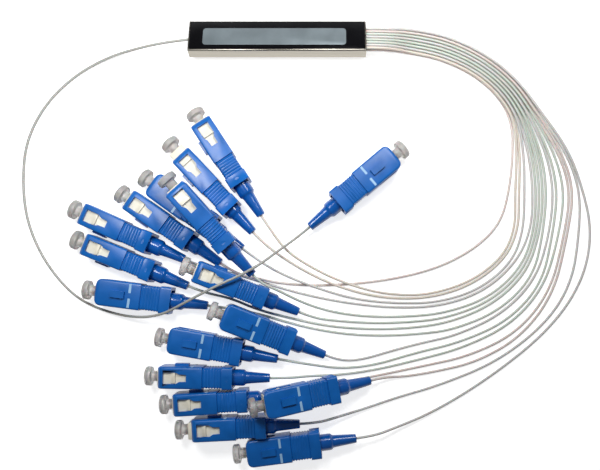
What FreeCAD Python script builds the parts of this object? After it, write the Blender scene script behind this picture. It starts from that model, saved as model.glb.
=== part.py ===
import FreeCAD, Part
import math
import os

# Bare-module fibre splitter: one input and sixteen outputs. A flat steel tube holds the
# planar light circuit chip. Seventeen 0.9 mm cords leave it and end in square push-pull
# connectors with tail boots and dust caps. Millimetres, +Z up, origin under the middle of
# the steel tube on the surface that everything lies on, +X along the tube to its outputs.

Vector = FreeCAD.Vector
X_AXIS = Vector(1, 0, 0)
Y_AXIS = Vector(0, 1, 0)
Z_AXIS = Vector(0, 0, 1)

# Steel tube and what it holds
TUBE_LENGTH = 60.0
TUBE_WIDTH = 12.0
TUBE_HEIGHT = 4.0
TUBE_WALL = 0.4
TUBE_EDGE_RADIUS = 0.5
TUBE_LEAN = 17.0          # degrees: the tube lies on its far lower edge, face turned away
PLUG_DEPTH = 3.0
PLUG_RECESS = 0.3
LABEL_THICKNESS = 0.1
LABEL_MARGIN = 0.45
CHIP_LENGTH = 16.0
CHIP_WIDTH = 4.5
CHIP_HEIGHT = 2.4
BLOCK_LENGTH = 7.0
RIBBON_THICKNESS = 0.3
RIBBON_WIDTH = 3.6

# Connector grip, measured back from its nose
GRIP_LENGTH = 25.0
GRIP_WIDTH = 9.0
GRIP_DEPTH = 7.4
NOSE_CORNER = 2.0
NOSE_BULGE = 0.6          # how far the middle of a nose corner stands out from a straight bevel
NOSE_BEVEL = 0.5
EDGE_BEVEL = 0.5
WAIST_START = 15.0
WAIST_END = 21.5
WAIST_STEP = 0.5
RIB_HEIGHT = 0.25
RIB_COUNT = 7
TAIL_FLARE = 0.05
WINDOW_START = 2.0
WINDOW_LENGTH = 5.1
WINDOW_WIDTH = 4.0
WINDOW_TIP_LENGTH = 2.9
WINDOW_TIP_WIDTH = 2.2
KEY_START = 5.3
KEY_LENGTH = 4.6
KEY_WIDTH = 2.3
KEY_HEIGHT = 0.8
GRIP_TRAVEL = 2.0

# Plug frame inside the grip
FRAME_LENGTH = 19.0
FRAME_WIDTH = 7.0
FRAME_DEPTH = 5.6
SLIDE_CLEARANCE = 0.05
CAVITY_LENGTH = 8.5
CAVITY_WIDTH = 5.2
CAVITY_DEPTH = 4.4
SEAT_WALL = 1.9
CATCH_START = 4.2
CATCH_LENGTH = 2.6
CATCH_WIDTH = 3.6
CATCH_HEIGHT = 0.75
CATCH_RAMP = 1.4
TONGUE_LENGTH = 2.9
TONGUE_WIDTH = 1.9

# Ferrule, spring and spring stop
ROUND_SIDES = 10          # small round pieces are turned with this many flats
FERRULE_DIAMETER = 2.5
FERRULE_REACH = 1.4
FERRULE_CLEARANCE = 0.03
FLANGE_WIDTH = 4.4
FLANGE_THICKNESS = 2.0
FLANGE_CLEARANCE = 0.1
SPRING_WIRE = 0.4
SPRING_RADIUS = 1.7
SPRING_TURNS = 2
SPRING_SIDES = 6
STOP_NOSE_LENGTH = 1.5
STOP_FLANGE_WIDTH = 5.2
STOP_FLANGE_LENGTH = 2.0
CRIMP_WIDTH = 3.0
CRIMP_LENGTH = 4.0
CRIMP_CLEARANCE = 0.05

# Tail boot
BOOT_COLLAR_DIAMETER = 5.6
BOOT_COLLAR_LENGTH = 3.7
BOOT_NECK_DIAMETER = 4.2
BOOT_TAIL_DIAMETER = 3.0
BOOT_LENGTH = 12.3

# Dust cap
CAP_HEAD_DIAMETER = 6.5
CAP_HEAD_LENGTH = 2.7
CAP_PROTRUSION = 4.9
CAP_NECK_DIAMETER = 4.1
CAP_GRIP_ON_FERRULE = 4.6
CAP_CLEARANCE = 0.02

# Cords
CORD_DIAMETER = 0.9
FLOOR = 0.5               # height of a cord's middle where it lies on the surface
LAYER = 1.02              # rise from one layer of cords to the one on it
EXIT_PITCH = 1.1
EXIT_COLUMNS = 8
ARC_SHARE = 0.45

# How each connector lies: nose x, y, z, heading of the nose, nose-up angle, roll about its
# own axis (0 is key up, 90 and -90 lie on a window face) and how far its grip is slid back.
FLAT = GRIP_DEPTH / 2
TALL = GRIP_WIDTH / 2 + TAIL_FLARE
PLACES = {
    "input": (39.4, -39.9, FLAT, 40.1, 0, 0, 0),
    "output_01": (-25.8, -28.9, TALL, 123.0, 0, -90, 0),
    "output_02": (-33.8, -38.6, TALL, 133.2, 0, -90, GRIP_TRAVEL),
    "output_03": (-32.3, -52.6, 14.6, 131.5, 8.0, -90, 0),
    "output_04": (-42.1, -49.4, FLAT, 144.0, 0, 0, 0),
    "output_05": (-49.8, -54.9, TALL, 145.0, 0, -90, 0),
    "output_06": (-65.4, -59.6, TALL, 155.6, 0, -90, 0),
    "output_07": (-64.7, -69.8, TALL, 157.6, 0, -90, 0),
    "output_08": (-60.7, -85.8, 4.6, 172.5, 2.0, 0, 0),
    "output_09": (-27.0, -78.9, 8.9, 157.8, 9.5, 90, 0),
    "output_10": (-18.0, -93.7, 7.8, 157.7, 9.3, 0, 0),
    "output_11": (-36.6, -102.1, FLAT, 169.6, 0, 0, 0),
    "output_12": (-39.8, -114.5, TALL, 179.0, 0, 90, 0),
    "output_13": (-34.8, -123.9, TALL, -176.6, 0, 90, 0),
    "output_14": (-29.6, -132.5, TALL, -177.2, 0, 90, 1.0),
    "output_15": (-3.9, -122.8, 12.6, -169.6, 14.8, 0, 0),
    "output_16": (-10.2, -140.6, FLAT, -172.6, 0, 0, 0),
}

# Order of the output cords across the bundle, from the inside of its bend to the outside
LANES = (5, 1, 2, 4, 6, 3, 9, 7, 8, 10, 11, 12, 13, 15, 14, 16)

# The bundle's inner and outer cord: eight columns two deep, then spread out over each other,
# then side by side on the surface
DOUBLE_STATIONS = (
    ((45.0, -3.4), (45.8, 4.3)),
    ((56.5, -5.8), (59.0, 1.7)),
    ((67.6, -11.0), (72.4, -4.8)),
    ((76.4, -18.6), (82.8, -13.6)),
)
FAN_STATION = ((81.0, -28.0), (90.4, -24.0))
SINGLE_STATIONS = (
    ((81.0, -40.2), (100.4, -37.0)),
    ((79.6, -52.0), (105.4, -51.0)),
)

# Each output cord from there to its connector, ending where it lines up with the boot
TAILS = {
    5: ((77.0, -61.5, 0.5), (70.5, -69.0, 0.5), (60.5, -75.3, 0.5), (50.0, -79.2, 0.5),
        (38.0, -81.8, 0.5), (25.0, -83.4, 0.5), (12.0, -83.9, 0.5), (1.0, -83.1, 0.6),
        (-6.5, -81.6, 2.0)),
    1: ((81.5, -63.5, 0.5), (77.5, -73.5, 0.5), (66.5, -82.0, 0.5), (53.0, -86.6, 0.5),
        (42.0, -87.2, 0.7), (31.0, -85.6, 1.75), (19.5, -81.6, 1.75), (10.0, -76.8, 2.2),
        (2.6, -71.8, 3.6)),
    2: ((83.0, -63.8, 0.5), (79.0, -74.2, 0.5), (68.0, -83.2, 0.5), (54.0, -88.0, 0.5),
        (39.0, -88.5, 0.6), (25.0, -85.8, 1.75), (13.0, -81.0, 1.75), (3.6, -75.6, 3.0)),
    4: ((84.5, -64.1, 0.5), (80.5, -75.0, 0.5), (69.3, -84.5, 0.5), (55.0, -89.4, 0.5),
        (41.0, -90.0, 0.5), (28.0, -88.8, 0.6), (16.5, -85.8, 1.75), (5.5, -81.7, 1.75),
        (-1.4, -78.5, 2.8)),
    6: ((86.0, -64.4, 0.5), (82.0, -75.9, 0.5), (70.6, -85.9, 0.5), (56.0, -90.9, 0.5),
        (40.0, -91.6, 0.5), (24.0, -89.9, 0.5), (10.0, -87.2, 0.5), (-2.0, -83.8, 0.5),
        (-11.5, -80.8, 0.6), (-17.0, -79.3, 1.1), (-22.4, -78.0, 2.0)),
    3: ((87.5, -64.8, 0.5), (83.4, -77.0, 0.5), (72.0, -87.4, 0.5), (57.0, -92.9, 0.5),
        (44.0, -94.6, 0.5), (32.0, -94.6, 0.5), (22.5, -93.6, 0.8), (14.0, -91.7, 1.8),
        (6.9, -88.9, 3.9), (0.6, -85.6, 6.6)),
    9: ((89.0, -65.1, 0.5), (84.8, -78.1, 0.5), (73.3, -88.9, 0.5), (58.0, -94.9, 0.5),
        (44.0, -96.6, 0.5), (31.0, -96.8, 0.5), (19.5, -95.9, 1.0)),
    7: ((90.5, -65.4, 0.5), (86.2, -79.2, 0.5), (74.6, -90.4, 0.5), (59.0, -96.8, 0.5),
        (44.0, -98.7, 0.5), (30.0, -98.9, 0.5), (16.5, -97.8, 0.5), (4.0, -95.1, 0.5),
        (-7.5, -92.1, 0.5), (-16.2, -88.2, 1.1)),
    8: ((92.0, -65.7, 0.5), (87.6, -80.3, 0.5), (75.9, -91.9, 0.5), (60.0, -98.7, 0.5),
        (48.0, -100.6, 0.5), (36.0, -101.2, 0.5), (24.0, -100.7, 0.5), (12.0, -98.8, 0.5),
        (1.5, -96.1, 0.5), (-8.5, -93.1, 0.8)),
    10: ((93.5, -66.0, 0.5), (89.0, -81.4, 0.5), (77.3, -93.5, 0.5), (61.5, -100.9, 0.5),
         (50.5, -103.4, 0.5), (40.0, -106.1, 0.5), (29.5, -109.3, 0.5)),
    11: ((95.0, -66.2, 0.5), (90.4, -82.6, 0.5), (78.7, -95.2, 0.5), (62.2, -103.0, 0.5),
         (47.5, -107.0, 0.5), (33.5, -111.3, 0.5), (22.0, -112.5, 0.6), (13.0, -111.2, 2.2)),
    12: ((96.5, -66.4, 0.5), (91.8, -83.8, 0.5), (80.1, -97.0, 0.5), (63.4, -105.2, 0.5),
         (48.5, -109.4, 0.5), (34.0, -112.9, 0.5), (21.5, -114.7, 0.6), (11.0, -114.8, 2.2)),
    13: ((98.0, -66.6, 0.5), (93.2, -85.0, 0.5), (81.6, -98.9, 0.5), (64.8, -107.6, 0.5),
         (49.5, -111.7, 0.5), (35.5, -114.7, 0.5), (26.0, -116.4, 0.5), (18.0, -118.0, 0.8),
         (11.5, -119.7, 2.6)),
    15: ((99.5, -66.8, 0.5), (94.7, -86.3, 0.5), (83.2, -101.0, 0.5), (68.0, -109.8, 0.5),
         (54.0, -113.6, 0.5), (43.5, -115.3, 0.5)),
    14: ((101.2, -67.0, 0.5), (96.4, -87.8, 0.5), (85.0, -103.4, 0.5), (70.5, -113.2, 0.5),
         (55.0, -118.5, 0.5), (41.5, -122.3, 0.5), (29.5, -126.4, 0.8), (20.0, -129.0, 2.4)),
    16: ((108.2, -64.0, 0.5), (106.6, -77.5, 0.5), (100.6, -90.0, 0.5), (91.0, -101.2, 0.5),
         (78.5, -111.5, 0.5), (65.0, -120.8, 0.5), (52.0, -128.2, 0.6), (40.5, -132.6, 1.8)),
}

# The input cord from the tube round its loop and over the heap to its connector
INPUT_ROUTE = (
    (-37.5, -1.0, 3.6), (-46.5, -3.2, 2.4), (-57.5, -7.8, 1.0), (-69.0, -15.2, 0.5),
    (-79.0, -25.0, 0.5), (-86.0, -36.5, 0.5), (-88.6, -48.5, 0.5), (-86.8, -60.8, 0.5),
    (-82.2, -72.4, 0.5), (-76.2, -82.4, 0.5), (-68.8, -89.8, 0.6), (-59.2, -94.0, 1.6),
    (-48.6, -96.2, 4.0), (-38.6, -94.7, 8.1), (-29.2, -89.8, 11.8), (-20.0, -84.8, 13.5),
    (-11.0, -80.6, 13.2), (-4.6, -76.5, 11.0), (0.8, -72.0, 7.4),
)
BOOT_LINE_UP = 6.0
SHORT_LINE_UP = 3.6
SHORT_TAILS = ("output_03", "output_06", "output_13")


def box(x0, x1, width, depth):
    """A block from x0 to x1, centred on the X axis."""
    return Part.makeBox(x1 - x0, width, depth, Vector(x0, -width / 2, -depth / 2))


def flat_ring(x, radius):
    """Corners of a round piece's ring, or the one point where it meets the axis."""
    if not radius:
        return [Vector(x, 0, 0)] * ROUND_SIDES
    step = 2 * math.pi / ROUND_SIDES
    return [Vector(x, radius * math.cos(step * i), radius * math.sin(step * i)) for i in range(ROUND_SIDES)]


def turned(outline):
    """A round piece about X, with flats, from (x, radius) corners that start and end on the axis."""
    rings = [flat_ring(x, radius) for x, radius in outline]
    ends = [rings[1], rings[-2]]
    faces = [Part.Face(Part.makePolygon(ring + ring[:1])) for ring in ends]
    for near, far in zip(rings[1:-2], rings[2:-1]):
        for i in range(ROUND_SIDES):
            j = (i + 1) % ROUND_SIDES
            faces.append(Part.Face(Part.makePolygon([near[i], near[j], far[j], far[i], near[i]])))
    return outward(Part.makeSolid(Part.makeShell(faces)))


def hexagon_rod(x0, x1, across_flats):
    """A six-sided rod along X."""
    radius = across_flats / math.sqrt(3)
    corners = [Vector(x0, radius * math.cos(math.radians(60 * i)),
                      radius * math.sin(math.radians(60 * i))) for i in range(7)]
    return Part.Face(Part.makePolygon(corners)).extrude(Vector(x1 - x0, 0, 0))


def nose_corner(half, bevel, bulge):
    """A bevelled corner between the nose and a side, in two flats where it bulges."""
    middle = [(-bevel / 2 + bulge / math.sqrt(2), half - bevel / 2 + bulge / math.sqrt(2))] if bulge else []
    return [(0, half - bevel)] + middle + [(-bevel, half)]


def comb_outline(half, nose_bevel, bulge, flare):
    """Upper half of a grip's outline, from nose to tail, with the ribbed waist."""
    waist = half - WAIST_STEP
    rib = waist + RIB_HEIGHT
    pitch = (WAIST_END - WAIST_START) / RIB_COUNT
    points = nose_corner(half, nose_bevel, bulge) + [(-WAIST_START, half), (-WAIST_START, waist)]
    for i in range(RIB_COUNT):
        points += [(-WAIST_START - (i + 0.5) * pitch, rib), (-WAIST_START - (i + 1) * pitch, waist)]
    return points + [(-WAIST_END, half + flare), (-GRIP_LENGTH, half + flare)]


def grip_blank():
    """The grip's outer form: two outlines extruded across each other, long edges bevelled."""
    plan = comb_outline(GRIP_WIDTH / 2, NOSE_CORNER, NOSE_BULGE, TAIL_FLARE)
    plan_points = [Vector(x, y, -GRIP_DEPTH) for x, y in plan]
    plan_points += [Vector(x, -y, -GRIP_DEPTH) for x, y in reversed(plan)]
    body = Part.Face(Part.makePolygon(plan_points + plan_points[:1])).extrude(Vector(0, 0, 2 * GRIP_DEPTH))

    side = comb_outline(GRIP_DEPTH / 2, NOSE_BEVEL, 0, 0)
    side_points = [Vector(x, -GRIP_WIDTH, z) for x, z in side]
    side_points += [Vector(x, -GRIP_WIDTH, -z) for x, z in reversed(side)]
    body = body.common(Part.Face(Part.makePolygon(side_points + side_points[:1]))
                       .extrude(Vector(0, 2 * GRIP_WIDTH, 0)))

    y = GRIP_WIDTH / 2 + TAIL_FLARE
    z = GRIP_DEPTH / 2
    cut = EDGE_BEVEL + TAIL_FLARE
    section = [(y, z - cut), (y - cut, z), (cut - y, z), (-y, z - cut),
               (-y, cut - z), (cut - y, -z), (y - cut, -z), (y, cut - z)]
    ring = [Vector(-GRIP_LENGTH, a, b) for a, b in section]
    return body.common(Part.Face(Part.makePolygon(ring + ring[:1])).extrude(Vector(GRIP_LENGTH, 0, 0)))


def window_cutter():
    """The stepped window that goes through both side walls."""
    step = -WINDOW_START - WINDOW_LENGTH
    outline = [(-WINDOW_START, WINDOW_WIDTH / 2), (step, WINDOW_WIDTH / 2),
               (step, WINDOW_TIP_WIDTH / 2), (step - WINDOW_TIP_LENGTH, WINDOW_TIP_WIDTH / 2)]
    points = [Vector(x, -GRIP_WIDTH, z) for x, z in outline]
    points += [Vector(x, -GRIP_WIDTH, -z) for x, z in reversed(outline)]
    return Part.Face(Part.makePolygon(points + points[:1])).extrude(Vector(0, 2 * GRIP_WIDTH, 0))


def make_grip():
    """Outer sliding housing with windows, ribbed waist and key."""
    key_root = GRIP_DEPTH / 2 - EDGE_BEVEL / 2
    key = Part.makeBox(KEY_LENGTH, KEY_WIDTH, GRIP_DEPTH / 2 + KEY_HEIGHT - key_root,
                       Vector(-KEY_START - KEY_LENGTH, -KEY_WIDTH / 2, key_root))
    bore = box(-GRIP_LENGTH, 0, FRAME_WIDTH + 2 * SLIDE_CLEARANCE, FRAME_DEPTH + 2 * SLIDE_CLEARANCE)
    return grip_blank().fuse(key).cut(bore).cut(window_cutter()).removeSplitter()


def make_plug_frame():
    """Inner plug body: front cavity, ferrule seat wall, rear chamber and the side catches."""
    seat = -CAVITY_LENGTH - SEAT_WALL
    chamber = FLANGE_WIDTH + 2 * FLANGE_CLEARANCE
    body = box(-FRAME_LENGTH, 0, FRAME_WIDTH, FRAME_DEPTH)
    body = body.cut(box(-CAVITY_LENGTH, 0, CAVITY_WIDTH, CAVITY_DEPTH))
    body = body.cut(box(-FRAME_LENGTH, seat, chamber, chamber))
    hole = FERRULE_DIAMETER / 2 + FERRULE_CLEARANCE
    body = body.cut(turned([(seat, 0), (seat, hole), (-CAVITY_LENGTH, hole), (-CAVITY_LENGTH, 0)]))
    return body.fuse([make_catch(1), make_catch(-1)]).removeSplitter()


def make_catch(side):
    """The ramped catch and its tongue that stand in a grip's window."""
    root = FRAME_WIDTH / 2 - SLIDE_CLEARANCE
    top = FRAME_WIDTH / 2 + CATCH_HEIGHT
    back = CATCH_START + CATCH_LENGTH
    outline = [(-CATCH_START, root), (-CATCH_START - CATCH_RAMP, top), (-back, top), (-back, root)]
    corners = [Vector(x, side * y, -CATCH_WIDTH / 2) for x, y in outline]
    catch = Part.Face(Part.makePolygon(corners + corners[:1])).extrude(Vector(0, 0, CATCH_WIDTH))
    tongue = Part.makeBox(TONGUE_LENGTH, top - root, TONGUE_WIDTH,
                          Vector(-back - TONGUE_LENGTH, min(side * root, side * top), -TONGUE_WIDTH / 2))
    return catch.fuse(tongue)


def make_ferrule():
    """Ceramic ferrule in its square metal flange."""
    back = -CAVITY_LENGTH - SEAT_WALL - FLANGE_THICKNESS
    radius = FERRULE_DIAMETER / 2
    pin = turned([(back, 0), (back, radius), (FERRULE_REACH, radius), (FERRULE_REACH, 0)])
    return pin.fuse(box(back, back + FLANGE_THICKNESS, FLANGE_WIDTH, FLANGE_WIDTH)).removeSplitter()


def make_spring():
    """Open coil of square wire between the ferrule's flange and the spring stop."""
    front = -CAVITY_LENGTH - SEAT_WALL - FLANGE_THICKNESS
    length = FRAME_LENGTH + front - STOP_NOSE_LENGTH
    steps = SPRING_TURNS * SPRING_SIDES
    rings = []
    for i in range(steps + 1):
        angle = 2 * math.pi * i / SPRING_SIDES
        x = front - (length - SPRING_WIRE) * i / steps
        rings.append([Vector(x - back * SPRING_WIRE, (SPRING_RADIUS + out * SPRING_WIRE) * math.cos(angle),
                             (SPRING_RADIUS + out * SPRING_WIRE) * math.sin(angle))
                      for back, out in ((0, -0.5), (0, 0.5), (1, 0.5), (1, -0.5))])
    faces = [Part.Face(Part.makePolygon(ring + ring[:1])) for ring in (rings[0], rings[-1])]
    for near, far in zip(rings, rings[1:]):
        for i in range(4):
            j = (i + 1) % 4
            faces.append(Part.Face(Part.makePolygon([near[i], near[j], far[j], near[i]])))
            faces.append(Part.Face(Part.makePolygon([near[i], far[j], far[i], near[i]])))
    return outward(Part.makeSolid(Part.makeShell(faces)))


def outward(solid):
    """The same solid with its faces turned outwards."""
    if solid.Volume < 0:
        solid.reverse()
    return solid


def make_spring_stop():
    """Rear closure of the plug frame with the crimped neck that the boot grips."""
    nose = FLANGE_WIDTH + 2 * FLANGE_CLEARANCE
    flange_end = -FRAME_LENGTH - STOP_FLANGE_LENGTH
    stop = box(-FRAME_LENGTH, -FRAME_LENGTH + STOP_NOSE_LENGTH, nose, nose)
    stop = stop.fuse(box(flange_end, -FRAME_LENGTH, STOP_FLANGE_WIDTH, STOP_FLANGE_WIDTH))
    return stop.fuse(hexagon_rod(flange_end - CRIMP_LENGTH, flange_end, CRIMP_WIDTH)).removeSplitter()


def make_boot():
    """Tail boot: collar inside and behind the grip, then a long taper down to the cord."""
    front = -FRAME_LENGTH - STOP_FLANGE_LENGTH
    collar_end = -GRIP_LENGTH - BOOT_COLLAR_LENGTH
    collar = BOOT_COLLAR_DIAMETER / 2
    neck = BOOT_NECK_DIAMETER / 2
    body = turned([(front, 0), (front, collar), (collar_end, collar), (collar_end - collar + neck, neck),
                   (-GRIP_LENGTH - BOOT_LENGTH, BOOT_TAIL_DIAMETER / 2), (-GRIP_LENGTH - BOOT_LENGTH, 0)])
    return body.cut(hexagon_rod(front - CRIMP_LENGTH, front, CRIMP_WIDTH + 2 * CRIMP_CLEARANCE))


def make_cap():
    """Dust cap: round head outside the plug, skirt pushed over the ferrule."""
    skirt_end = FERRULE_REACH - CAP_GRIP_ON_FERRULE
    head_back = CAP_PROTRUSION - CAP_HEAD_LENGTH
    bore = FERRULE_DIAMETER / 2 + CAP_CLEARANCE
    bore_end = FERRULE_REACH + CAP_CLEARANCE
    return turned([(bore_end, 0), (bore_end, bore), (skirt_end, bore), (skirt_end, CAP_NECK_DIAMETER / 2),
                   (head_back, CAP_NECK_DIAMETER / 2), (head_back, CAP_HEAD_DIAMETER / 2),
                   (CAP_PROTRUSION, CAP_HEAD_DIAMETER / 2), (CAP_PROTRUSION, 0)])


def tube_placement():
    """How the steel tube leans: on its far lower edge, over the origin."""
    turn = FreeCAD.Rotation(X_AXIS, -TUBE_LEAN)
    low = tube_blank().transformed(FreeCAD.Placement(Vector(), turn).toMatrix()).BoundBox.ZMin
    return FreeCAD.Placement(Vector(0, 0, -low), turn)


def tube_blank():
    """The steel tube's outer form with its long edges rounded."""
    body = box(-TUBE_LENGTH / 2, TUBE_LENGTH / 2, TUBE_WIDTH, TUBE_HEIGHT)
    long_edges = [edge for edge in body.Edges if edge.Length > TUBE_LENGTH - TUBE_WALL]
    return body.makeFillet(TUBE_EDGE_RADIUS, long_edges)


def make_tube():
    """Open-ended flat steel tube."""
    inside = box(-TUBE_LENGTH / 2, TUBE_LENGTH / 2, TUBE_WIDTH - 2 * TUBE_WALL, TUBE_HEIGHT - 2 * TUBE_WALL)
    return tube_blank().cut(inside)


def make_label():
    """Black sticker over the tube's upper face."""
    width = TUBE_WIDTH - 2 * LABEL_MARGIN
    length = TUBE_LENGTH - 2 * LABEL_MARGIN
    return Part.makeBox(length, width, LABEL_THICKNESS, Vector(-length / 2, -width / 2, TUBE_HEIGHT / 2))


def make_end_plugs():
    """The two sealing plugs that the cords come out of."""
    outer = TUBE_LENGTH / 2 - PLUG_RECESS
    width = TUBE_WIDTH - 2 * TUBE_WALL
    depth = TUBE_HEIGHT - 2 * TUBE_WALL
    return Part.makeCompound([box(-outer, PLUG_DEPTH - outer, width, depth),
                              box(outer - PLUG_DEPTH, outer, width, depth)])


def make_optical_chip():
    """Splitter chip between two glass fibre blocks, with the ribbons to the end plugs."""
    floor = TUBE_WALL - TUBE_HEIGHT / 2
    chip = Part.makeBox(CHIP_LENGTH, CHIP_WIDTH, CHIP_HEIGHT, Vector(-CHIP_LENGTH / 2, -CHIP_WIDTH / 2, floor))
    pieces = [chip]
    reach = TUBE_LENGTH / 2 - PLUG_RECESS - PLUG_DEPTH
    block = box(0, BLOCK_LENGTH, CHIP_WIDTH, CHIP_HEIGHT)
    block.translate(Vector(CHIP_LENGTH / 2, 0, floor + CHIP_HEIGHT / 2))
    ribbon = box(CHIP_LENGTH / 2 + BLOCK_LENGTH, reach, RIBBON_WIDTH, RIBBON_THICKNESS)
    for angle in (0, 180):
        turn = FreeCAD.Placement(Vector(), FreeCAD.Rotation(Z_AXIS, angle))
        pieces += [placed(block, turn), placed(ribbon, turn)]
    return Part.makeCompound(pieces)


def connector_placement(name):
    """Where a connector lies: its own +X is the way its nose points."""
    x, y, z, heading, rise, roll, _ = PLACES[name]
    turn = (FreeCAD.Rotation(Z_AXIS, heading) * FreeCAD.Rotation(Y_AXIS, -rise)
            * FreeCAD.Rotation(X_AXIS, roll))
    return FreeCAD.Placement(Vector(x, y, z), turn)


def placed(shape, placement):
    """A copy of a shape moved to a placement."""
    return shape.transformed(placement.toMatrix())


def along_connector(name, x):
    """The point at x on a connector's own axis."""
    return connector_placement(name).multVec(Vector(x, 0, 0))


def cord_ends(name):
    """The point where a cord lines up with its boot, and the boot's end."""
    tail = -GRIP_LENGTH - BOOT_LENGTH
    line_up = SHORT_LINE_UP if name in SHORT_TAILS else BOOT_LINE_UP
    return [along_connector(name, tail - line_up), along_connector(name, tail)]


def exit_point(lane, side):
    """Where a cord leaves an end plug: eight columns, two rows; the input in the middle."""
    face = side * (TUBE_LENGTH / 2 - PLUG_RECESS)
    if side < 0:
        return tube_placement().multVec(Vector(face, 0, 0))
    column = lane // 2 - (EXIT_COLUMNS - 1) / 2
    row = lane % 2 - 0.5
    return tube_placement().multVec(Vector(face, column * EXIT_PITCH, row * EXIT_PITCH))


def between(ends, share):
    """The point at a share of the way from a station's inner cord to its outer one."""
    (x0, y0), (x1, y1) = ends
    return x0 + (x1 - x0) * share, y0 + (y1 - y0) * share


def output_route(lane):
    """All points of an output cord from the tube to its boot."""
    number = LANES[lane]
    start = exit_point(lane, 1)
    points = [start, start + Vector(CORD_DIAMETER * 8, 0, 0)]
    column_share = (lane // 2) / (EXIT_COLUMNS - 1)
    lane_share = lane / (len(LANES) - 1)
    layer = FLOOR + LAYER * (lane % 2)
    points += [Vector(*between(station, column_share), layer) for station in DOUBLE_STATIONS]
    points.append(Vector(*between(FAN_STATION, lane_share), layer))
    points += [Vector(*between(station, lane_share), FLOOR) for station in SINGLE_STATIONS]
    points += [Vector(*point) for point in TAILS[number]]
    return points + cord_ends("output_%02d" % number)


def input_route():
    """All points of the input cord from the tube to its boot."""
    return [exit_point(0, -1)] + [Vector(*point) for point in INPUT_ROUTE] + cord_ends("input")


def cord_path(name, points):
    """Straight runs joined by tangent arcs, each as large as its two runs allow."""
    edges = []
    here = points[0]
    smallest = None
    for before, corner, after in zip(points, points[1:], points[2:]):
        into = (corner - before).normalize()
        out = (after - corner).normalize()
        half_turn = into.getAngle(out) / 2
        reach = ARC_SHARE * min((corner - before).Length, (after - corner).Length)
        radius = reach / math.tan(half_turn)
        bisector = (out - into).normalize()
        arc_start = corner - into * reach
        arc_end = corner + out * reach
        middle = corner + bisector * (radius / math.cos(half_turn) - radius)
        edges += [Part.LineSegment(here, arc_start).toShape(), Part.Arc(arc_start, middle, arc_end).toShape()]
        here = arc_end
        smallest = radius if smallest is None else min(smallest, radius)
    edges.append(Part.LineSegment(here, points[-1]).toShape())
    path = Part.Wire(edges)
    print("%-18s %2d points, %.1f mm long, smallest radius %.1f mm" % (name, len(points), path.Length, smallest))
    return path


def make_cord(name, points):
    """A plain round cord along its route."""
    path = cord_path(name, points)
    ring = Part.Wire(Part.makeCircle(CORD_DIAMETER / 2, points[0], points[1] - points[0]))
    return outward(path.makePipeShell([ring], True, False))


def save(name, shape):
    """Write one sub-part."""
    shape.exportStep("parts/%s.step" % name)


def save_connectors():
    """Every connector's pieces: grips and caps one by one, the fixed inner pieces as groups."""
    grip = make_grip()
    cap = make_cap()
    for name, place in PLACES.items():
        placement = connector_placement(name)
        slid = FreeCAD.Placement(Vector(-place[-1], 0, 0), FreeCAD.Rotation())
        save(name + "_grip", placed(grip, placement * slid))
        save(name + "_cap", placed(cap, placement))
    groups = {"plug_frames": make_plug_frame(), "ferrules": make_ferrule(), "springs": make_spring(),
              "spring_stops": make_spring_stop(), "boots": make_boot()}
    for node, piece in groups.items():
        save(node, Part.makeCompound([placed(piece, connector_placement(name)) for name in PLACES]))


def save_module():
    """The steel tube, its label, its end plugs and the chip inside."""
    lean = tube_placement()
    save("steel_tube", placed(make_tube(), lean))
    save("face_label", placed(make_label(), lean))
    save("end_plugs", placed(make_end_plugs(), lean))
    save("optical_chip", placed(make_optical_chip(), lean))


def save_cords():
    """The input cord and the sixteen output cords."""
    save("input_cord", make_cord("input_cord", input_route()))
    for lane, number in enumerate(LANES):
        name = "output_cord_%02d" % number
        save(name, make_cord(name, output_route(lane)))


os.makedirs("parts", exist_ok=True)
save_module()
save_connectors()
save_cords()
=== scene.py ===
# %% [markdown]
# # A fibre splitter with push-pull connectors
# The real object is a flat steel tube with a light-splitting chip inside. One cord goes in at its
# left end, sixteen come out at its right end, and every cord ends in a square push-pull connector
# with a tail boot and a dust cap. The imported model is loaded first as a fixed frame. Its bodies
# move at their joints, so each piece made here rides on the body whose solid it stands for.

# %% Load the frame
import math

import bmesh
import bpy
from mathutils import Matrix, Vector


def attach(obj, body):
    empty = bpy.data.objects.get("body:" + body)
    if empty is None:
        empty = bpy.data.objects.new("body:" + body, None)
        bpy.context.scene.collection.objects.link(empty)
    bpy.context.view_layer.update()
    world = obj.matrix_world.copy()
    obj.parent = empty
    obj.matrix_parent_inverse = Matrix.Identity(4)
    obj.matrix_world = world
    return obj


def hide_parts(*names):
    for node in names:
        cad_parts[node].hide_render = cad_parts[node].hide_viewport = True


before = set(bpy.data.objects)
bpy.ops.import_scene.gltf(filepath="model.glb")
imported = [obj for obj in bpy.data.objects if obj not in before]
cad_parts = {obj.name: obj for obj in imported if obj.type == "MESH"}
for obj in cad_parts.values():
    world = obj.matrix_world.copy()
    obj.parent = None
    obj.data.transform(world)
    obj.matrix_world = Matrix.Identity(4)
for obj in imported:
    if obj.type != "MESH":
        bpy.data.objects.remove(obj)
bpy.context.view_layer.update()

# %% [markdown]
# The construction uses millimetres and Blender uses metres, so every length below is written in
# millimetres and multiplied once. The connectors all share the same sizes, counted back from the
# nose of the grip, which is why they are named here in one place. A connector lies on its broad
# side or on its narrow one, and its middle is then at one of two heights.

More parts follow.
